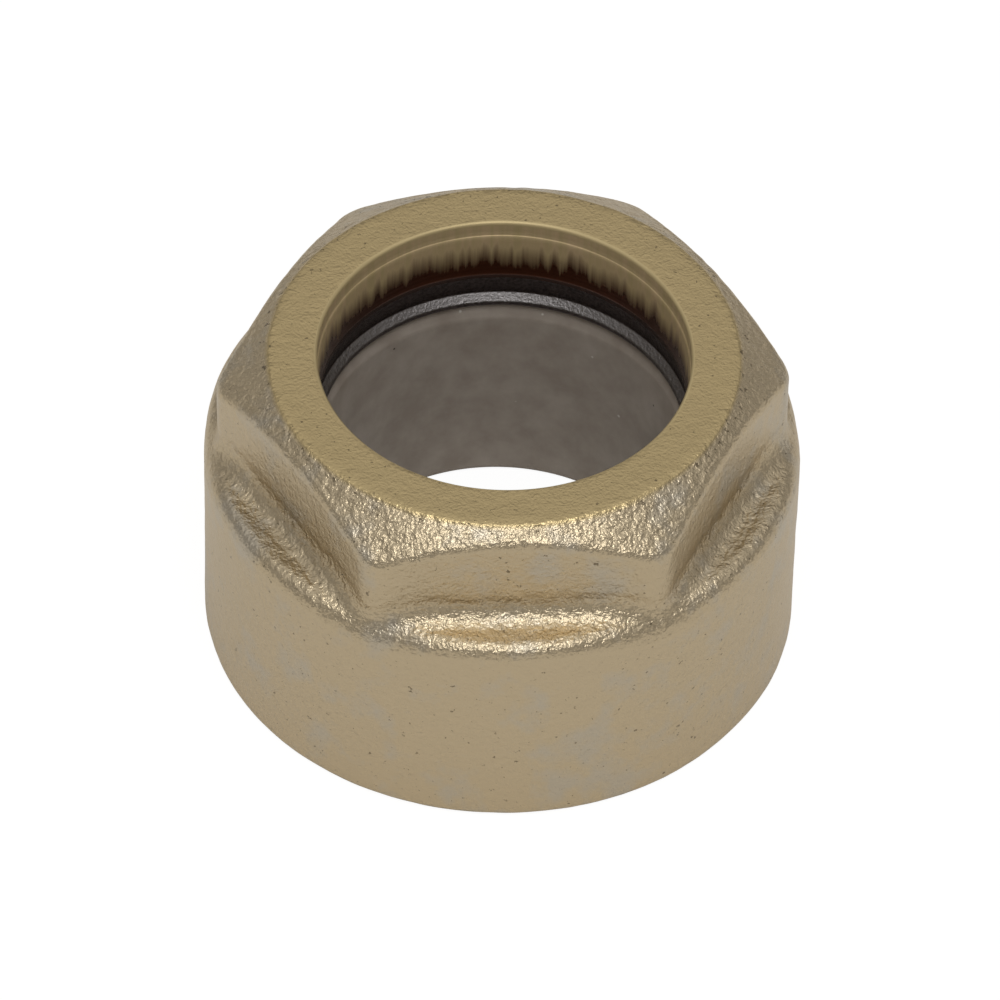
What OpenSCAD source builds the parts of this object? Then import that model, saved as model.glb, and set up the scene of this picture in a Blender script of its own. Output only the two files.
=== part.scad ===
// Union nut for a pipe, with a clamp ring and a soft sealing nipple inside it.
// The nut is a brass forging: a round threaded skirt whose upper part is drawn in to a hexagon.
// It stands on its skirt. Z runs up along the axis of the pipe.

/* [Pipe way] */
// Outer diameter of the pipe that the nut takes
pipe_d = 18; // [14:0.5:22]
// Gap between the pipe and the nut's bore, on each side
bore_gap = 0.15; // [0.1:0.01:0.3]
// Length of the bore, from the top face to the shoulder
bore_l = 3.85; // [3.2:0.05:4.4]
// Length of the turned land at the mouth of the bore
land_l = 0.95; // [0.5:0.05:1.5]
// Step from the turned land in to the bore
land_step = 0.05; // [0.02:0.01:0.12]
// Edge break at the mouth of the bore
mouth_break = 0.12; // [0.05:0.01:0.3]

/* [Sealing nipple] */
// Gap between the pipe and the insert's bore, on each side
seal_gap = 0.02; // [0.01:0.01:0.1]
// Width of the level rim that the ring presses on
rim_w = 0.85; // [0.5:0.05:1.1]
// Depth of the dish inside that rim
dish_depth = 0.2; // [0.1:0.05:0.4]
// Width of the lip at the mouth of the nipple
lip_w = 0.33; // [0.2:0.01:0.5]
// Height of that lip
lip_h = 0.75; // [0.4:0.05:1.2]
// Width of the collar, from the bore to its outer edge
collar_w = 2.94; // [2.6:0.01:3.4]
// Height of the collar's straight part
collar_h = 2.3; // [1.5:0.1:3]
// Width of the step under the collar
collar_step = 0.75; // [0.4:0.05:1]
// Wall at the foot of the sealing cone
foot_wall = 1.1; // [0.8:0.05:1.4]
// Edge break at the foot of the nipple
foot_break = 0.2; // [0.1:0.05:0.4]

/* [Clamp ring] */
// Height of the ring
ring_h = 1.75; // [1.6:0.05:2.2]
// Height of the wide mouth at the top of the ring
ring_mouth_h = 1.16; // [0.8:0.02:1.2]
// Size of the bevel from that mouth down to the pipe
ring_bevel = 0.38; // [0.25:0.01:0.42]
// Width of the ring's top face
ring_top_w = 0.45; // [0.35:0.05:0.7]

/* [Seat] */
// Half angle of the cone that presses on the clamp ring
seat_angle = 30; // [26:1:34]
// Running clearance between that cone and the insert
seat_gap = 0.05; // [0.03:0.01:0.09]

/* [Thread] */
// Gap between the collar and the crests of the thread
collar_gap = 0.1; // [0.05:0.01:0.3]
// Pitch of the thread
thread_pitch = 1.814; // [1.4:0.001:2]
// Width of the relief groove above the thread
relief_w = 1.6; // [1:0.1:2]
// Depth of the relief groove beyond the thread
relief_depth = 0.1; // [0.05:0.05:0.3]

/* [Nut] */
// Height of the nut
nut_h = 17.6; // [16.5:0.1:20]
// Wall of the skirt outside the thread
skirt_wall = 1.63; // [1.4:0.01:2.5]
// Rounding of the skirt's lower outer edge
base_round = 0.4; // [0.2:0.1:0.8]

/* [Hexagon] */
// Depth of the ledge below the top face
ledge_depth = 5.5; // [4.8:0.1:6.4]
// Width of the ledge at the middle of a flat
ledge_w = 2.35; // [2.1:0.05:2.8]
// Width of the step that is left outside a corner
step_w = 0.65; // [0.5:0.05:0.9]
// Width of the chamfer at the middle of a flat
chamfer_w = 0.9; // [0.5:0.05:1.4]
// Slope of the corner chamfer, down from level
chamfer_angle = 36; // [30:1:42]
// Fillet between a flat and the ledge
ledge_fillet = 1; // [0.7:0.1:1.2]
// Rounding of the ledge's outer edge
ledge_round = 0.8; // [0.5:0.1:1]
// Rounding of the step from a corner down to the skirt
step_round = 1.4; // [1.2:0.1:1.6]

/* [Hidden] */
$fn = 128;
// Overlap of shapes that are joined, and overrun of cuts
lap = 0.5;
// Depth of a thread of this form, as a share of its pitch
thread_form = 0.640327;

// The insert's bore, and the collar that runs inside the thread
seal_r = pipe_d / 2 + seal_gap;
collar_r = seal_r + collar_w;
lip_r = seal_r + lip_w;
cone_foot_r = seal_r + foot_wall;
cone_top_r = collar_r - collar_step;
ring_mouth_r = seal_r + ring_bevel;
ring_top_r = ring_mouth_r + ring_top_w;

// Inside of the nut. The crests of the thread clear the collar; a G 3/4 thread is 26.44 mm across
bore_r = pipe_d / 2 + bore_gap;
land_r = bore_r + land_step;
shoulder_z = nut_h - bore_l;
core_r = collar_r + collar_gap;
thread_r = core_r + thread_form * thread_pitch;
relief_r = thread_r + relief_depth;
entry_h = relief_r - core_r;
// The cone lies its clearance outside the ring's own cone
seat_r = ring_top_r + seat_gap / cos(seat_angle);
seat_end_z = shoulder_z - (core_r - seat_r) / tan(seat_angle);

// Heights of the insert, down from the nut's shoulder
ring_top_z = shoulder_z - seat_gap;
ring_foot_z = ring_top_z - ring_h;
ring_foot_r = ring_top_r + ring_h * tan(seat_angle);
rim_r = ring_foot_r - rim_w;
dish_z = ring_foot_z - dish_depth;
collar_top_z = ring_top_z - (collar_r - ring_top_r) / tan(seat_angle);
collar_foot_z = collar_top_z - collar_h;

// Outside of the nut, 25 mm across the flats
skirt_r = thread_r + skirt_wall;
flat_r = skirt_r - ledge_w;
corner_r = skirt_r - step_w;
face_r = flat_r - chamfer_w;
ledge_z = nut_h - ledge_depth;
chamfer_h = (corner_r - face_r) * tan(chamfer_angle);
round_x = skirt_r - ledge_round;
round_z = ledge_z - ledge_round;
// Height where the foot of the hexagon is sunk in the skirt
foot_z = round_z + ledge_round / 4;

// The S curve that leads a corner down into the skirt: a rounding below, a fillet above
step_x = skirt_r - step_round;
step_z = round_z - ledge_round / 4;
fillet_x = corner_r + ledge_fillet;
sum_r = step_round + ledge_fillet;
fillet_z = step_z + sqrt(sum_r * sum_r - (fillet_x - step_x) * (fillet_x - step_x));
// Where the two arcs meet
meet_x = step_x + (fillet_x - step_x) * step_round / sum_r;
meet_z = step_z + (fillet_z - step_z) * step_round / sum_r;

// Flat profile of the skirt, with its ledge level all round
module skirt_profile() {
    square([round_x, ledge_z]);
    translate([0, base_round]) square([skirt_r, round_z - base_round]);
    square([skirt_r - base_round, base_round + lap]);
    translate([skirt_r - base_round, base_round]) circle(base_round);
    translate([round_x, round_z]) circle(ledge_round);
}

// Flat profile of the blank that the flats are struck in: the S curve, the corners' reach and the chamfer
module blank_profile() {
    intersection() {
        translate([step_x, step_z]) circle(step_round);
        translate([0, foot_z]) square([skirt_r, meet_z - foot_z]);
    }
    translate([0, foot_z]) square([step_x, meet_z - foot_z]);
    difference() {
        translate([0, meet_z]) square([meet_x, fillet_z - meet_z]);
        translate([fillet_x, fillet_z]) circle(ledge_fillet);
    }
    polygon([[0, fillet_z], [corner_r, fillet_z], [corner_r, nut_h - chamfer_h], [face_r, nut_h], [0, nut_h]]);
}

// Section of what is taken off in front of a flat, down to the ledge, but for the fillet
module flat_section() {
    difference() {
        translate([flat_r, foot_z - lap]) square([skirt_r, ledge_depth + ledge_round + 2 * lap]);
        difference() {
            translate([flat_r - lap, foot_z - 2 * lap])
                square([ledge_fillet + lap, ledge_z + ledge_fillet - foot_z + 2 * lap]);
            translate([flat_r + ledge_fillet, ledge_z + ledge_fillet]) circle(ledge_fillet);
        }
    }
}

// The hexagon, whose flats face +Y and -Y, with two corners on the X axis
module hexagon() {
    difference() {
        rotate_extrude() blank_profile();
        for (turn = [30:60:330]) {
            rotate(turn) rotate([90, 0, 0]) linear_extrude(4 * skirt_r, center = true) flat_section();
        }
    }
}

module forged_outside() {
    rotate_extrude() skirt_profile();
    hexagon();
}

// What is turned out of the forging, from the mouth of the bore down to the thread
module turned_inside() {
    rotate_extrude() polygon([
        [0, -lap], [relief_r + lap, -lap], [core_r, entry_h],
        [core_r, seat_end_z - relief_w], [relief_r, seat_end_z - relief_w],
        [relief_r, seat_end_z], [core_r, seat_end_z],
        [seat_r, shoulder_z], [bore_r, shoulder_z],
        [bore_r, nut_h - land_l], [land_r, nut_h - land_l], [land_r, nut_h - mouth_break],
        [land_r + mouth_break + lap, nut_h + lap], [0, nut_h + lap]]);
}

module union_nut() {
    color([0.68, 0.64, 0.54]) difference() {
        forged_outside();
        turned_inside();
    }
}

// Ring that the nut's cone squeezes on to the pipe
module clamp_ring() {
    color([0.36, 0.33, 0.33]) rotate_extrude() polygon([
        [ring_mouth_r, ring_top_z], [ring_top_r, ring_top_z], [ring_foot_r, ring_foot_z],
        [seal_r, ring_foot_z], [seal_r, ring_top_z - ring_mouth_h - ring_bevel],
        [ring_mouth_r, ring_top_z - ring_mouth_h]]);
}

// Soft sleeve whose cone seals in the fitting that the nut is screwed on
module sealing_nipple() {
    color([0.30, 0.29, 0.30]) rotate_extrude() polygon([
        [rim_r, ring_foot_z], [ring_foot_r, ring_foot_z], [collar_r, collar_top_z],
        [collar_r, collar_foot_z], [cone_top_r, collar_foot_z],
        [cone_foot_r, foot_break], [cone_foot_r - foot_break, 0], [seal_r, 0],
        [seal_r, dish_z - lip_h], [lip_r, dish_z]]);
}

union_nut();
clamp_ring();
sealing_nipple();
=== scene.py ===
"""Union nut with its clamp ring and sealing nipple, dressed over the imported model.

The nut is a blasted, nickel-plated brass forging. Its outside is one surface of two parameters: the
angle round the axis and the way along a profile that changes with that angle, from the bore over
the hexagon and its ledges to the thread. The two pieces inside it are turned profiles.
"""
import logging
import math
from dataclasses import dataclass, field
from enum import Enum
from itertools import product

import bpy
import numpy as np
from mathutils import Matrix, Vector


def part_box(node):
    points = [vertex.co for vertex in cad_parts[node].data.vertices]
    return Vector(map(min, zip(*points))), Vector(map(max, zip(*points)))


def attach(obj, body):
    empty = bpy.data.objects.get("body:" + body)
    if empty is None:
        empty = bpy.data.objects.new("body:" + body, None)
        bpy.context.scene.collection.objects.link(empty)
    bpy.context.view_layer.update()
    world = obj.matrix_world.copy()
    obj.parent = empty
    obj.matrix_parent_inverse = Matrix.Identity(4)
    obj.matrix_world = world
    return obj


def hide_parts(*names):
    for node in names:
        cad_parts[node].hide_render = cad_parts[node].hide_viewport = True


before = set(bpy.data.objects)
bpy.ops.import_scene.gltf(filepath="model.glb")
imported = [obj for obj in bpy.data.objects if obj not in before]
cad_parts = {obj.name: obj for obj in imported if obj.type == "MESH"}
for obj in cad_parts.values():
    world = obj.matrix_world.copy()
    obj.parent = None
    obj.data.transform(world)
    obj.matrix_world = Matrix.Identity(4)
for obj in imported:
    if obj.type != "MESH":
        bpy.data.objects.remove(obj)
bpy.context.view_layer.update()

LOG = logging.getLogger("union_nut")
MM = 0.001
Array = np.ndarray


class Region(Enum):
    """Parts of the nut's surface that were made by different tools, in the order of their slots."""

    BLASTED = 0
    TURNED = 1
    THREADED = 2


def lattice_noise(points: Array, cell: float, seed: int) -> Array:
    """Smooth noise in space.

    Every corner of a grid of cubes holds a random value from -1 to 1. A point takes the mean of its
    cube's eight corners, each weighted by the product of s(t) or 1 - s(t) along X, Y and Z, where t
    is the place in the cube and s(t) = 3 t^2 - 2 t^3.

    Args:
        points: places, one row of three for each point.
        cell: side of a cube, in the units of points.
        seed: picks the random values.

    Returns:
        One value from -1 to 1 for each point.
    """
    size = 64
    table = np.random.default_rng(seed).uniform(-1.0, 1.0, (size, size, size))
    scaled = points / cell
    low = np.floor(scaled).astype(int)
    t = scaled - low
    s = t * t * (3.0 - 2.0 * t)
    total = np.zeros(len(points))
    for corner in product((0, 1), repeat=3):
        place = (low + corner) % size
        weight = np.prod(np.where(corner, s, 1.0 - s), axis=1)
        total += weight * table[place[:, 0], place[:, 1], place[:, 2]]
    return total


@dataclass
class Profile:
    """A closed profile round the axis: rows of radius and height, each with one value per column.

    Row k of the finished surface is the closed curve (r_k(a) cos a, r_k(a) sin a, z_k(a)), and the
    last row joins the first.
    """

    columns: int
    radii: list[Array] = field(default_factory=list)
    heights: list[Array] = field(default_factory=list)
    regions: list[int] = field(default_factory=list)
    grains_and_highlights: list[float] = field(default_factory=list)

    @property
    def angles(self) -> Array:
        """Angle of each column, in radians."""
        return np.arange(self.columns) * (2.0 * math.pi / self.columns)

    def add(self, r: Array, z: Array, region: Region, grain_and_highlight: float) -> None:
        """Adds rows to the profile.

        Args:
            r: radii, one row for each new row of the surface.
            z: heights, in the same shape.
            region: the tool that made the rows.
            grain_and_highlight: how coarse the blasting is there, from 0 to 1; on the clamp ring, how much
                painted highlight lies there.
        """
        r, z = np.broadcast_arrays(np.atleast_2d(r), np.atleast_2d(z))
        wide = (r.shape[0], self.columns)
        self.radii.append(np.broadcast_to(r, wide))
        self.heights.append(np.broadcast_to(z, wide))
        self.regions += [region.value] * r.shape[0]
        self.grains_and_highlights += [grain_and_highlight] * r.shape[0]

    def line(self, start: tuple, end: tuple, rows: int, region: Region, grain_and_highlight: float = 0.0) -> None:
        """Adds a straight stretch, p = start + (end - start) t, without its end.

        Args:
            start: radius and height where it starts, each a number or one value per column.
            end: radius and height where it ends.
            rows: number of rows.
            region: the tool that made it.
            grain_and_highlight: how coarse the blasting is there; on the clamp ring, how much painted highlight
                lies there.
        """
        t = (np.arange(rows) / rows)[:, None]
        r = start[0] + (np.asarray(end[0]) - start[0]) * t
        z = start[1] + (np.asarray(end[1]) - start[1]) * t
        self.add(r, z, region, grain_and_highlight)

    def bend(self, start: tuple, corner: tuple, end: tuple, rows: int, region: Region,
             grain_and_highlight: float = 0.0) -> None:
        """Adds a softened corner, p = (1 - t)^2 start + 2 t (1 - t) corner + t^2 end, without its end.

        Args:
            start: radius and height where the rounding starts.
            corner: the sharp corner that it replaces.
            end: radius and height where the rounding ends.
            rows: number of rows.
            region: the tool that made it.
            grain_and_highlight: how coarse the blasting is there; on the clamp ring, how much painted highlight
                lies there.
        """
        t = (np.arange(rows) / rows)[:, None]
        r, z = ((1 - t) ** 2 * np.asarray(start[k]) + 2 * t * (1 - t) * np.asarray(corner[k])
                + t ** 2 * np.asarray(end[k]) for k in (0, 1))
        self.add(r, z, region, grain_and_highlight)

    def arc(self, centre: tuple, radius: Array, first: Array, last: Array, rows: int, region: Region,
            grain_and_highlight: float = 0.0) -> None:
        """Adds an arc, p = centre + radius (cos u, sin u) with u from first to last, without its end.

        Args:
            centre: radius and height of the arc's centre.
            radius: radius of the arc.
            first: starting angle from the outward direction, in radians.
            last: ending angle.
            rows: number of rows.
            region: the tool that made it.
            grain_and_highlight: how coarse the blasting is there; on the clamp ring, how much painted highlight
                lies there.
        """
        t = (np.arange(rows) / rows)[:, None]
        u = first + (np.asarray(last) - first) * t
        self.add(centre[0] + radius * np.cos(u), centre[1] + radius * np.sin(u), region, grain_and_highlight)

    def surface(self) -> "Surface":
        """Turns the profile round the axis.

        Returns:
            The closed surface.
        """
        r, z = np.vstack(self.radii), np.vstack(self.heights)
        points = np.stack([r * np.cos(self.angles), r * np.sin(self.angles), z], axis=2)
        return Surface(points, np.array(self.regions), np.array(self.grains_and_highlights))


@dataclass
class Surface:
    """A closed grid of points, rows by columns, both of which join end to end."""

    points: Array
    regions: Array
    grains_and_highlights: Array

    def normals(self) -> Array:
        """Unit normals, the cross product of the steps along the columns and along the rows.

        Returns:
            One outward normal for each point of the grid.
        """
        along = np.roll(self.points, -1, axis=1) - np.roll(self.points, 1, axis=1)
        across = np.roll(self.points, -1, axis=0) - np.roll(self.points, 1, axis=0)
        n = np.cross(across, along)
        return n / np.maximum(np.linalg.norm(n, axis=2, keepdims=True), 1e-12)

    def push(self, depth: Array) -> None:
        """Moves each point inwards along its normal by its own depth."""
        self.points = self.points - self.normals() * depth[..., None]

    def piece(self, name: str) -> bpy.types.Object:
        """Makes the grid a mesh object in metres.

        Point (i, j) of the grid is vertex i * columns + j, and each face takes four neighbours.

        Args:
            name: name of the object and its mesh.

        Returns:
            The new object, at the origin.
        """
        rows, columns = self.points.shape[:2]
        index = np.arange(rows * columns).reshape(rows, columns)
        below, beside = np.roll(index, -1, axis=0), np.roll(index, -1, axis=1)
        both = np.roll(below, -1, axis=1)
        faces = np.stack([index, below, both, beside], axis=2).reshape(-1, 4)
        mesh = bpy.data.meshes.new(name)
        mesh.from_pydata((self.points.reshape(-1, 3) * MM).tolist(), [], faces.tolist())
        mesh.polygons.foreach_set("use_smooth", np.ones(len(faces), bool))
        mesh.polygons.foreach_set("material_index", np.repeat(self.regions, columns))
        grain_and_highlight = mesh.attributes.new("grain_and_highlight", "FLOAT", "POINT")
        grain_and_highlight.data.foreach_set("value", np.repeat(self.grains_and_highlights, columns).astype(np.float32))
        mesh.update()
        made = bpy.data.objects.new(name, mesh)
        bpy.context.scene.collection.objects.link(made)
        return made


class Shader:
    """A node material under construction."""

    def __init__(self, name: str) -> None:
        """Starts a material that holds only its output."""
        self.material = bpy.data.materials.new(name)
        self.material.use_nodes = True
        self.tree = self.material.node_tree
        self.tree.nodes.clear()
        self.output = self.tree.nodes.new("ShaderNodeOutputMaterial")

    def node(self, kind: str, settings: dict | None = None, **inputs: object) -> bpy.types.Node:
        """Adds a node.

        Args:
            kind: the node's type, without ShaderNode.
            settings: its properties.
            inputs: its sockets by name, with _ for a space; an output socket is linked.

        Returns:
            The new node.
        """
        made = self.tree.nodes.new("ShaderNode" + kind)
        for key, value in (settings or {}).items():
            setattr(made, key, value)
        for key, value in inputs.items():
            self.feed(made.inputs[key.replace("_", " ")], value)
        return made

    def feed(self, socket: bpy.types.NodeSocket, value: object) -> None:
        """Links an output to a socket, or sets the socket to a constant."""
        if isinstance(value, bpy.types.NodeSocket):
            self.tree.links.new(value, socket)
        else:
            socket.default_value = value

    def place(self) -> bpy.types.NodeSocket:
        """Gives the object's own coordinates, in metres."""
        return self.node("TexCoord").outputs["Object"]

    def noise(self, size: float, detail: float = 2.0, rough: float = 0.5,
              where: object = None) -> bpy.types.NodeSocket:
        """Adds noise.

        Args:
            size: width of its blotches, in millimetres.
            detail: octaves of finer noise.
            rough: strength of each finer octave.
            where: coordinates, or none for the object's own.

        Returns:
            Its value, from 0 to 1.
        """
        vector = self.place() if where is None else where
        return self.node("TexNoise", Vector=vector, Scale=1.0 / (size * MM), Detail=detail,
                         Roughness=rough).outputs["Fac"]

    def math(self, operation: str, a: object, b: object = 0.0) -> bpy.types.NodeSocket:
        """Adds one sum of two values and gives its result."""
        made = self.node("Math", {"operation": operation})
        self.feed(made.inputs[0], a)
        self.feed(made.inputs[1], b)
        return made.outputs[0]

    def span(self, value: object, low: float, high: float, to_low: float = 0.0,
             to_high: float = 1.0) -> bpy.types.NodeSocket:
        """Maps low..high to to_low..to_high, without passing either end."""
        made = self.node("MapRange", {"clamp": True}, Value=value, From_Min=low, From_Max=high,
                         To_Min=to_low, To_Max=to_high)
        return made.outputs["Result"]

    def blend(self, factor: object, a: object, b: object) -> bpy.types.NodeSocket:
        """Blends colour a into colour b by factor."""
        made = self.node("Mix", {"data_type": "RGBA"})
        for socket, value in zip((made.inputs[0], made.inputs[6], made.inputs[7]), (factor, a, b)):
            self.feed(socket, value)
        return made.outputs[2]

    def bump(self, height: object, depth: float, strength: object = 1.0,
             under: object = None) -> bpy.types.NodeSocket:
        """Adds a bump.

        Args:
            height: value from 0 to 1.
            depth: rise from 0 to 1, in millimetres.
            strength: share of it that shows.
            under: normal that it lies on.

        Returns:
            The new normal.
        """
        made = self.node("Bump", Height=height, Distance=depth * MM, Strength=strength)
        if under is not None:
            self.feed(made.inputs["Normal"], under)
        return made.outputs["Normal"]

    def attribute(self, name: str) -> bpy.types.NodeSocket:
        """Reads a number that the mesh carries."""
        return self.node("Attribute", {"attribute_name": name}).outputs["Fac"]

    def height(self) -> bpy.types.NodeSocket:
        """Height above the base, in metres."""
        return self.node("SeparateXYZ", Vector=self.place()).outputs["Z"]

    def radius(self) -> bpy.types.NodeSocket:
        """Distance from the axis, in metres."""
        flat = self.node("VectorMath", {"operation": "MULTIPLY"})
        self.feed(flat.inputs[0], self.place())
        flat.inputs[1].default_value = (1.0, 1.0, 0.0)
        length = self.node("VectorMath", {"operation": "LENGTH"})
        self.feed(length.inputs[0], flat.outputs[0])
        return length.outputs["Value"]

    def finish(self, **inputs: object) -> bpy.types.Material:
        """Ends the material with a Principled surface.

        Args:
            inputs: the surface's sockets by name, with _ for a space.

        Returns:
            The material.
        """
        surface = self.node("BsdfPrincipled", **inputs)
        self.tree.links.new(surface.outputs["BSDF"], self.output.inputs["Surface"])
        return self.material


Colour = tuple[float, float, float, float]


def colour(red: float, green: float, blue: float) -> Colour:
    """An opaque colour in linear light."""
    return (red, green, blue, 1.0)


@dataclass(frozen=True)
class BlastedNickel:
    """Satin nickel on blasted brass: warm and even, with a coarse sparkling peel where grain is high."""

    plate: Colour = colour(0.60, 0.50, 0.345)
    worn: Colour = colour(0.56, 0.50, 0.40)
    gilt: Colour = colour(0.62, 0.49, 0.265)
    dirt: Colour = colour(0.13, 0.10, 0.065)
    seam_r: float = 11.85
    seam_w: float = 0.45
    top_z: float = 15.2
    face_z: float = 17.35

    def build(self) -> bpy.types.Material:
        """Makes the material.

        Returns:
            The material of the nut's outside.
        """
        s = Shader("blasted_nickel")
        grain_and_highlight, z = s.attribute("grain_and_highlight"), s.height()
        patches = s.span(s.noise(2.6, 4.0, 0.6), 0.50, 0.66)
        base = s.blend(patches, self.plate, self.worn)
        base = s.blend(s.span(z, self.face_z * MM, (self.face_z + 0.15) * MM), base, self.gilt)
        near = s.math("ABSOLUTE", s.math("SUBTRACT", s.radius(), self.seam_r * MM))
        above = s.math("GREATER_THAN", z, self.top_z * MM)
        seam = s.math("MULTIPLY", s.span(near, self.seam_w * MM, 0.0), above)
        spot = s.noise(0.35, 3.0, 0.65)
        speck = s.span(s.math("ADD", spot, s.math("MULTIPLY", seam, 0.07)), 0.665, 0.70)
        base = s.blend(s.math("MULTIPLY", speck, 0.75), base, self.dirt)
        peel = s.noise(0.34, 2.0, 0.5)
        fine = s.noise(0.15, 2.0, 0.6)
        normal = s.bump(s.noise(0.8, 2.0), 0.04, 0.5)
        normal = s.bump(peel, 0.13, s.span(grain_and_highlight, 0.0, 1.0, 0.22, 1.0), normal)
        normal = s.bump(fine, 0.05, s.span(grain_and_highlight, 0.0, 1.0, 0.85, 1.0), normal)
        return s.finish(Base_Color=base, Metallic=1.0, Roughness=0.31, Normal=normal)


@dataclass(frozen=True)
class TurnedBore:
    """The turned and plated bore: smooth, with tool lines round it, and painted shade that darkens it towards
    its lower end.
    """

    plate: Colour = colour(0.72, 0.56, 0.34)
    brass: Colour = colour(0.62, 0.50, 0.27)
    painted_shade: Colour = colour(0.075, 0.024, 0.012)
    land_z: float = 16.65
    end_z: float = 14.6

    def build(self) -> bpy.types.Material:
        """Makes the material.

        Returns:
            The material of the bore and the cone.
        """
        s = Shader("turned_bore")
        z = s.height()
        streak = s.node("Mapping", {"vector_type": "POINT"}, Vector=s.place(), Scale=(1.0, 1.0, 0.06))
        streaks = s.noise(0.5, 3.0, 0.6, streak.outputs["Vector"])
        edge = s.math("ADD", z, s.span(streaks, 0.3, 0.7, -0.5 * MM, 0.5 * MM))
        # Painted shade: down the bore the colour turns dark red-brown, standing for the shadowed inside that
        # the lower wall reflects; the same mask raises the metallic share and lowers the roughness.
        painted_shade_mask = s.span(edge, (self.land_z - 0.7) * MM, self.end_z * MM)
        streaked = s.blend(s.span(streaks, 0.35, 0.65), self.plate, self.brass)
        base = s.blend(painted_shade_mask, streaked, self.painted_shade)
        base = s.blend(s.span(z, 17.25 * MM, 17.45 * MM), base, self.brass)
        lines = s.node("TexWave", {"wave_type": "BANDS", "bands_direction": "Z"}, Vector=s.place(),
                       Scale=1.0 / (0.9 * MM), Distortion=1.5, Detail=2.0)
        on_land = s.span(z, (self.land_z - 0.1) * MM, (self.land_z + 0.05) * MM, 0.1, 0.6)
        normal = s.bump(lines.outputs["Fac"], 0.012, on_land)
        normal = s.bump(streaks, 0.01, 0.4, normal)
        rough = s.span(painted_shade_mask, 0.0, 1.0, 0.5, 0.25)
        metal = s.span(painted_shade_mask, 0.0, 1.0, 0.55, 1.0)
        return s.finish(Base_Color=base, Metallic=metal, Roughness=rough, Normal=normal)


@dataclass(frozen=True)
class CutThread:
    """The cut thread under its thin plate: yellower than the outside, with fine tool marks."""

    plate: Colour = colour(0.60, 0.48, 0.26)
    shade: Colour = colour(0.42, 0.33, 0.18)

    def build(self) -> bpy.types.Material:
        """Makes the material.

        Returns:
            The material of the thread and its relief.
        """
        s = Shader("cut_thread")
        base = s.blend(s.span(s.noise(1.4, 3.0), 0.35, 0.65), self.plate, self.shade)
        normal = s.bump(s.noise(0.12, 2.0), 0.006, 0.6)
        return s.finish(Base_Color=base, Metallic=1.0, Roughness=0.28, Normal=normal)


@dataclass(frozen=True)
class DarkRing:
    """Dark grained metal, with a painted highlight: its bevel and soft top edge are painted lighter where they
    face the light.
    """

    dark: Colour = colour(0.055, 0.045, 0.045)
    painted_highlight: Colour = colour(0.20, 0.19, 0.19)

    def build(self) -> bpy.types.Material:
        """Makes the material.

        Returns:
            The material of the clamp ring.
        """
        s = Shader("dark_ring")
        bevel = s.attribute("grain_and_highlight")
        grit = s.noise(0.16, 3.0, 0.65)
        base = s.blend(s.span(grit, 0.35, 0.75), self.dark, colour(0.12, 0.10, 0.10))
        # Painted highlight: the bevel, and at 0.6 the soft top edge, blend into a lighter copy of the dark
        # metal.
        base = s.blend(bevel, base, self.painted_highlight)
        normal = s.bump(grit, 0.05, 1.0)
        return s.finish(Base_Color=base, Metallic=1.0, Roughness=0.33, Normal=normal)


@dataclass(frozen=True)
class SealRubber:
    """Smooth matte moulding in warm dark grey, faintly mottled, with white dust and a few pits."""

    body: Colour = colour(0.32, 0.275, 0.235)
    pale: Colour = colour(0.42, 0.375, 0.33)
    dust: Colour = colour(0.62, 0.60, 0.56)
    pit: Colour = colour(0.02, 0.018, 0.018)

    def build(self) -> bpy.types.Material:
        """Makes the material.

        Returns:
            The material of the sealing nipple.
        """
        s = Shader("seal_rubber")
        base = s.blend(s.span(s.noise(1.8, 4.0, 0.6), 0.35, 0.7), self.body, self.pale)
        cells = s.node("TexVoronoi", {"feature": "F1"}, Vector=s.place(), Scale=1.0 / (1.3 * MM))
        near = s.span(cells.outputs["Distance"], 0.075, 0.045)
        picked = s.node("SeparateColor", Color=cells.outputs["Color"])
        dusty = s.math("MULTIPLY", near, s.math("GREATER_THAN", picked.outputs["Red"], 0.72))
        pitted = s.math("MULTIPLY", near, s.math("LESS_THAN", picked.outputs["Red"], 0.10))
        base = s.blend(dusty, base, self.dust)
        base = s.blend(pitted, base, self.pit)
        normal = s.bump(s.noise(0.2, 3.0, 0.6), 0.01, 0.5)
        return s.finish(Base_Color=base, Metallic=0.0, Roughness=0.42, Specular_IOR_Level=0.55, Normal=normal)


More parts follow.
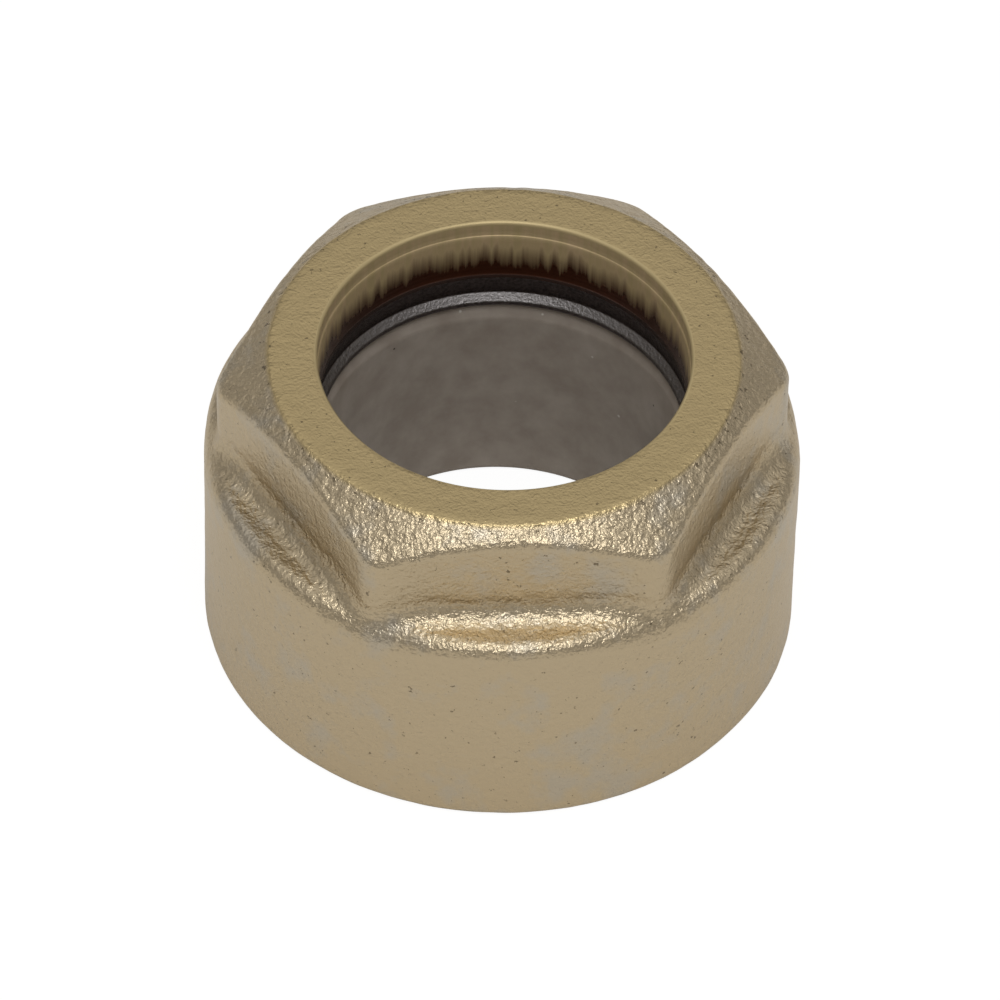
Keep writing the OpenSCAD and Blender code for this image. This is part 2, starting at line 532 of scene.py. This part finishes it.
@dataclass
class UnionNut:
    """The forged and turned nut. Lengths are in millimetres; the height and the skirt come from the frame."""

    flat_r: float = 12.5
    corner_round: float = 1.7
    face_r: float = 11.6
    chamfer: float = math.radians(36.0)
    ledge_depth: float = 5.5
    ledge_round: float = 0.8
    ledge_fillet: float = 1.0
    corner_soft: float = 0.7
    base_round: float = 0.4
    bore_r: float = 9.15
    land_step: float = 0.05
    land_l: float = 0.95
    mouth_break: float = 0.14
    bore_l: float = 3.85
    seat_r: float = 9.91
    seat_angle: float = math.radians(30.0)
    core_r: float = 12.06
    thread_depth: float = 1.16
    thread_pitch: float = 1.814
    relief_r: float = 13.32
    relief_w: float = 1.6
    columns: int = 540

    def __post_init__(self) -> None:
        """Reads the overall sizes from the frame."""
        low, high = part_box("union_nut")
        self.height = (high.z - low.z) / MM
        self.skirt_r = high.x / MM

    def wall(self, angles: Array) -> Array:
        """Radius of the hexagon's rounded outline.

        On a flat it is flat_r / cos d, with d the angle from the middle of the flat. Round a corner
        it is c cos e + sqrt(q^2 - c^2 sin^2 e), with e the angle from the corner, q the corner's
        rounding and c the distance of its centre from the axis.

        Args:
            angles: angles round the axis, in radians.

        Returns:
            One radius for each angle.
        """
        sixth = math.pi / 3.0
        from_flat = np.abs((angles - math.pi / 2.0 + sixth / 2.0) % sixth - sixth / 2.0)
        from_corner = sixth / 2.0 - from_flat
        centre = (self.flat_r - self.corner_round) / math.cos(sixth / 2.0)
        turn = math.atan2(centre * math.sin(sixth / 2.0), self.flat_r)
        inside = np.maximum(self.corner_round ** 2 - (centre * np.sin(from_corner)) ** 2, 0.0)
        corner = centre * np.cos(from_corner) + np.sqrt(inside)
        return np.where(from_flat < turn, self.flat_r / np.cos(from_flat), corner)

    def outside(self, profile: Profile) -> None:
        """Adds the outside, from the top face down to the foot of the skirt.

        Where the ledge is w wide, a rounding of radius a and a fillet of radius b each turn by u,
        with (a + b) (1 - cos u) = w and u no more than a right angle; what is left of w is level.

        Args:
            profile: profile that the rows go to.
        """
        top, blast = self.height, Region.BLASTED
        wall = self.wall(profile.angles)
        slope = math.tan(self.chamfer)
        land_r = self.bore_r + self.land_step
        mouth = land_r + self.mouth_break
        soft = 0.12
        profile.line((mouth, top), (self.face_r - soft, top), 12, blast, 0.06)
        chamfer_start = (self.face_r + soft, top - soft * slope)
        profile.bend((self.face_r - soft, top), (self.face_r, top), chamfer_start, 3, blast, 0.5)
        edge = (wall, top - (wall - self.face_r) * slope)
        blunt = 0.3
        before = (wall - blunt, edge[1] + blunt * slope)
        after = (wall, edge[1] - blunt)
        profile.line(chamfer_start, before, 12, blast, 1.0)
        profile.bend(before, edge, after, 4, blast, 0.8)
        width = self.skirt_r - wall
        near = (width.max() - width) / (width.max() - width.min())
        near = near * near * (3.0 - 2.0 * near)
        a = self.ledge_round + self.corner_soft * near
        b = self.ledge_fillet + self.corner_soft * near
        u = np.arccos(np.clip(1.0 - width / (a + b), 0.0, 1.0))
        start_z = top - self.ledge_depth - a
        fillet_z = start_z + (a + b) * np.sin(u)
        profile.line(after, (wall, fillet_z), 13, blast, 0.3)
        level = np.maximum(width - a - b, 0.0)
        along = (np.arange(26) / 26.0)[:, None] * (b * u + level + a * u)
        past_fillet = along - b * u
        past_level = past_fillet - level
        turn = u - past_level / a
        r = np.where(past_level > 0.0, self.skirt_r - a + a * np.cos(turn), wall + b + past_fillet)
        z = np.where(past_level > 0.0, start_z + a * np.sin(turn), fillet_z - b)
        r = np.where(past_fillet < 0.0, wall + b - b * np.cos(along / b), r)
        z = np.where(past_fillet < 0.0, fillet_z - b * np.sin(along / b), z)
        profile.add(r, z, blast, 0.8)
        profile.line((self.skirt_r, start_z), (self.skirt_r, self.base_round), 34, blast, 0.3)
        quarter = math.pi / 2.0
        edge_at = (self.skirt_r - self.base_round, self.base_round)
        profile.arc(edge_at, self.base_round, 0.0, -quarter, 4, blast, 0.3)
        profile.line((edge_at[0], 0.0), (self.relief_r, 0.0), 3, blast, 0.1)

    def inside(self, profile: Profile) -> None:
        """Adds the inside, from the foot of the thread up to the mouth of the bore.

        The thread's radius is core + depth (1 + cos p) / 2, with p one turn for each pitch of height
        and one turn the other way for each turn round the axis, and no less than the entry's cone.

        Args:
            profile: profile that the rows go to.
        """
        top, cut, turned = self.height, Region.THREADED, Region.TURNED
        shoulder = top - self.bore_l
        seat_end = shoulder - (self.core_r - self.seat_r) / math.tan(self.seat_angle)
        thread_end = seat_end - self.relief_w
        rows = 40
        z = np.linspace(0.02, thread_end, rows)[:, None]
        phase = 2.0 * math.pi * z / self.thread_pitch - profile.angles
        fade = np.clip((thread_end - z) / 0.5, 0.0, 1.0)
        groove = self.thread_depth * (0.5 + 0.5 * np.cos(phase)) ** 0.8
        thread = self.core_r + groove * fade
        profile.add(np.maximum(thread, self.relief_r - z), z, cut, 0.0)
        profile.line((self.core_r + 0.05, thread_end + 0.05), (self.relief_r, thread_end + 0.1), 2, cut)
        profile.line((self.relief_r, thread_end + 0.1), (self.relief_r, seat_end - 0.1), 2, cut)
        profile.line((self.relief_r, seat_end), (self.core_r, seat_end), 2, cut)
        profile.line((self.core_r, seat_end), (self.seat_r, shoulder), 4, turned)
        profile.line((self.seat_r, shoulder), (self.bore_r, shoulder), 2, turned)
        land_z = top - self.land_l
        land_r = self.bore_r + self.land_step
        profile.line((self.bore_r, shoulder), (self.bore_r, land_z), 8, turned)
        profile.line((self.bore_r, land_z), (land_r, land_z + self.land_step), 2, turned)
        profile.line((land_r, land_z + self.land_step), (land_r, top - self.mouth_break), 3, turned)
        profile.line((land_r, top - self.mouth_break), (land_r + self.mouth_break, top), 3, turned)

    def roughen(self, surface: Surface) -> None:
        """Presses the forging's unevenness and the blasting into the outside.

        Each depth is the sum over several cell sizes of strength (1 + noise) / 2, so no point rises
        above the true surface.

        Args:
            surface: the nut's surface.
        """
        flat = surface.points.reshape(-1, 3)
        shape = surface.points.shape[:2]
        coarse = surface.grains_and_highlights[:, None]
        blasted = (surface.regions == Region.BLASTED.value)[:, None]
        depth = np.zeros(shape)
        layers = ((5.0, 0.05, 0.03), (1.6, 0.016, 0.03), (0.55, 0.008, 0.035))
        for seed, (cell, even, extra) in enumerate(layers):
            noise = lattice_noise(flat, cell, seed).reshape(shape)
            depth += (even + extra * coarse) * (0.5 + 0.5 * noise)
        surface.push(depth * blasted)

    def build(self) -> bpy.types.Object:
        """Makes the nut, dressed.

        Returns:
            The nut's piece.
        """
        profile = Profile(self.columns)
        self.outside(profile)
        self.inside(profile)
        surface = profile.surface()
        self.roughen(surface)
        piece = surface.piece("union_nut_forging")
        for finish in (BlastedNickel(), TurnedBore(), CutThread()):
            piece.data.materials.append(finish.build())
        return dress(piece, "nut", "union_nut")


@dataclass
class ClampRing:
    """The ring under the nut's shoulder. Lengths are in millimetres; its height comes from the frame."""

    bore_r: float = 9.02
    mouth_r: float = 9.4
    mouth_h: float = 1.16
    top_w: float = 0.45
    soft: float = 0.06
    columns: int = 384

    def build(self) -> bpy.types.Object:
        """Makes the ring, dressed.

        Returns:
            The ring's piece.
        """
        low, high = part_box("clamp_ring")
        foot, top, foot_r = low.z / MM, high.z / MM, high.x / MM
        bevel = self.mouth_r - self.bore_r
        bevel_z = top - self.mouth_h
        p, turned = Profile(self.columns), Region.BLASTED
        top_r = self.mouth_r + self.top_w
        p.line((self.mouth_r + self.soft, top), (top_r, top), 6, turned)
        p.line((top_r, top), (foot_r, foot), 14, turned)
        p.line((foot_r, foot), (self.bore_r, foot), 14, turned)
        p.line((self.bore_r, foot), (self.bore_r, bevel_z - bevel), 4, turned)
        # The last argument marks the painted highlight: 1 on the bevel here, 0.6 on the soft top edge two lines
        # down.
        p.line((self.bore_r, bevel_z - bevel), (self.mouth_r, bevel_z), 8, turned, 1.0)
        p.line((self.mouth_r, bevel_z), (self.mouth_r, top - self.soft), 12, turned)
        p.line((self.mouth_r, top - self.soft), (self.mouth_r + self.soft, top), 2, turned, 0.6)
        piece = p.surface().piece("clamp_ring_turned")
        piece.data.materials.append(DarkRing().build())
        return dress(piece, "insert", "clamp_ring")


@dataclass
class SealingNipple:
    """The soft sleeve under the ring. Lengths are in millimetres; its height and collar come from the frame."""

    bore_r: float = 9.02
    lip_w: float = 0.33
    lip_h: float = 0.75
    dish: float = 0.2
    rim_r: float = 10.01
    rim_end_r: float = 10.86
    collar_top: float = 10.05
    collar_h: float = 2.3
    collar_step: float = 0.75
    foot_wall: float = 1.1
    foot_break: float = 0.2
    columns: int = 384

    def build(self) -> bpy.types.Object:
        """Makes the nipple, dressed.

        Returns:
            The nipple's piece.
        """
        low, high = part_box("sealing_nipple")
        top, collar_r = high.z / MM, high.x / MM
        p, moulded = Profile(self.columns), Region.BLASTED
        dish_z, foot = top - self.dish, self.foot_break
        collar_foot = self.collar_top - self.collar_h
        cone_r, foot_r = collar_r - self.collar_step, self.bore_r + self.foot_wall
        lip_r = self.bore_r + self.lip_w
        p.line((lip_r, dish_z), (self.rim_r, top), 5, moulded)
        p.line((self.rim_r, top), (self.rim_end_r, top), 6, moulded)
        p.line((self.rim_end_r, top), (collar_r, self.collar_top), 10, moulded)
        p.line((collar_r, self.collar_top), (collar_r, collar_foot), 12, moulded)
        p.line((collar_r, collar_foot), (cone_r, collar_foot), 5, moulded)
        p.line((cone_r, collar_foot), (foot_r, foot), 36, moulded)
        p.line((foot_r, foot), (foot_r - foot, 0.0), 3, moulded)
        p.line((foot_r - foot, 0.0), (self.bore_r + foot, 0.0), 4, moulded)
        p.line((self.bore_r + foot, 0.0), (self.bore_r, foot), 3, moulded)
        p.line((self.bore_r, foot), (self.bore_r, dish_z - self.lip_h), 52, moulded)
        p.line((self.bore_r, dish_z - self.lip_h), (lip_r, dish_z), 8, moulded)
        piece = p.surface().piece("sealing_nipple_moulded")
        piece.data.materials.append(SealRubber().build())
        return dress(piece, "insert", "sealing_nipple")


def dress(piece: bpy.types.Object, body: str, node: str) -> bpy.types.Object:
    """Ties a piece to the frame.

    Args:
        piece: the new piece.
        body: body that it rides on.
        node: CAD node that it stands for.

    Returns:
        The same piece.
    """
    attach(piece, body)
    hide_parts(node)
    LOG.info("%s: %d faces, on %s", piece.name, len(piece.data.polygons), body)
    return piece


@dataclass
class Studio:
    """A pale floor, a soft key light above the camera, and a bright sky over a dim horizon."""

    floor_half: float = 3.0
    azimuth: float = -3.94
    elevation: float = 46.21
    roll: float = 1.43
    distance: float = 0.414
    lens: float = 298.2
    aim: tuple[float, float, float] = (-0.00004, 0.0, 0.00716)

    def camera(self) -> None:
        """Stands the camera where the photograph was taken from."""
        a, e = math.radians(self.azimuth), math.radians(self.elevation)
        back = Vector((math.sin(a) * math.cos(e), -math.cos(a) * math.cos(e), math.sin(e)))
        data = bpy.data.cameras.new("camera")
        data.lens, data.sensor_width = self.lens, 36.0
        data.clip_start, data.clip_end = 0.01, 20.0
        made = bpy.data.objects.new("camera", data)
        bpy.context.scene.collection.objects.link(made)
        turn = (-back).to_track_quat("-Z", "Y").to_matrix().to_4x4()
        place = Matrix.Translation(Vector(self.aim) + back * self.distance)
        made.matrix_world = place @ turn @ Matrix.Rotation(math.radians(self.roll), 4, "Z")
        bpy.context.scene.camera = made

    def floor(self) -> None:
        """Lays the floor: white to the camera, with a faint shadow."""
        mesh = bpy.data.meshes.new("floor")
        h = self.floor_half
        mesh.from_pydata([(-h, -h, 0), (h, -h, 0), (h, h, 0), (-h, h, 0)], [], [(0, 1, 2, 3)])
        made = bpy.data.objects.new("floor", mesh)
        bpy.context.scene.collection.objects.link(made)
        s = Shader("floor")
        ray = s.node("LightPath")
        shaded = s.node("BsdfDiffuse", Color=colour(0.94, 0.92, 0.88))
        white = s.node("Emission", Color=colour(1.0, 1.0, 1.0), Strength=1.09)
        mix = s.node("MixShader")
        s.feed(mix.inputs[0], s.math("MULTIPLY", ray.outputs["Is Camera Ray"], 0.86))
        s.feed(mix.inputs[1], shaded.outputs[0])
        s.feed(mix.inputs[2], white.outputs[0])
        s.tree.links.new(mix.outputs[0], s.output.inputs["Surface"])
        mesh.materials.append(s.material)

    def sky(self) -> None:
        """Sets the world: white to the camera; to the object dim at the horizon and bright above."""
        world = bpy.data.worlds.new("studio")
        world.use_nodes = True
        tree = world.node_tree
        tree.nodes.clear()
        new, link = tree.nodes.new, tree.links.new
        split = new("ShaderNodeSeparateXYZ")
        link(new("ShaderNodeTexCoord").outputs["Generated"], split.inputs[0])
        ramp = new("ShaderNodeValToRGB")
        link(split.outputs["Z"], ramp.inputs[0])
        stops = ramp.color_ramp.elements
        stops[0].position, stops[0].color = 0.0, colour(0.24, 0.22, 0.20)
        stops[1].position, stops[1].color = 1.0, colour(0.66, 0.65, 0.63)
        for position, level in ((0.22, 0.20), (0.45, 0.36), (0.72, 0.58)):
            stops.new(position).color = colour(level, level * 0.97, level * 0.93)
        path = new("ShaderNodeLightPath")
        pick = new("ShaderNodeMix")
        pick.data_type = "RGBA"
        link(path.outputs["Is Camera Ray"], pick.inputs[0])
        link(ramp.outputs[0], pick.inputs[6])
        pick.inputs[7].default_value = colour(1.0, 1.0, 1.0)
        light = new("ShaderNodeBackground")
        link(pick.outputs[2], light.inputs[0])
        link(light.outputs[0], new("ShaderNodeOutputWorld").inputs[0])
        bpy.context.scene.world = world

    def lamp(self, name: str, azimuth: float, elevation: float, distance: float, size: float,
             power: float) -> None:
        """Hangs a square soft lamp that faces the object.

        Args:
            name: the lamp's name.
            azimuth: its direction from the object, in degrees, 0 being the front.
            elevation: its height above the horizon, in degrees.
            distance: its distance, in metres.
            size: its side, in metres.
            power: its power, in watts.
        """
        a, e = math.radians(azimuth), math.radians(elevation)
        away = Vector((math.sin(a) * math.cos(e), -math.cos(a) * math.cos(e), math.sin(e)))
        data = bpy.data.lights.new(name, "AREA")
        data.size, data.energy = size, power
        made = bpy.data.objects.new(name, data)
        bpy.context.scene.collection.objects.link(made)
        made.location = away * distance
        made.rotation_mode = "QUATERNION"
        made.rotation_quaternion = away.to_track_quat("Z", "Y")

    def build(self) -> None:
        """Sets up the camera, the floor, the world and the lamps."""
        self.camera()
        self.floor()
        self.sky()
        self.lamp("key", 2.0, 62.0, 0.8, 0.34, 1.45)
        view = bpy.context.scene.view_settings
        view.view_transform = "Standard"


def main() -> None:
    """Builds the studio and the three pieces."""
    logging.basicConfig(level=logging.INFO, format="%(message)s")
    Studio().build()
    for part in (UnionNut(), ClampRing(), SealingNipple()):
        part.build()


if __name__ == "__main__":
    main()
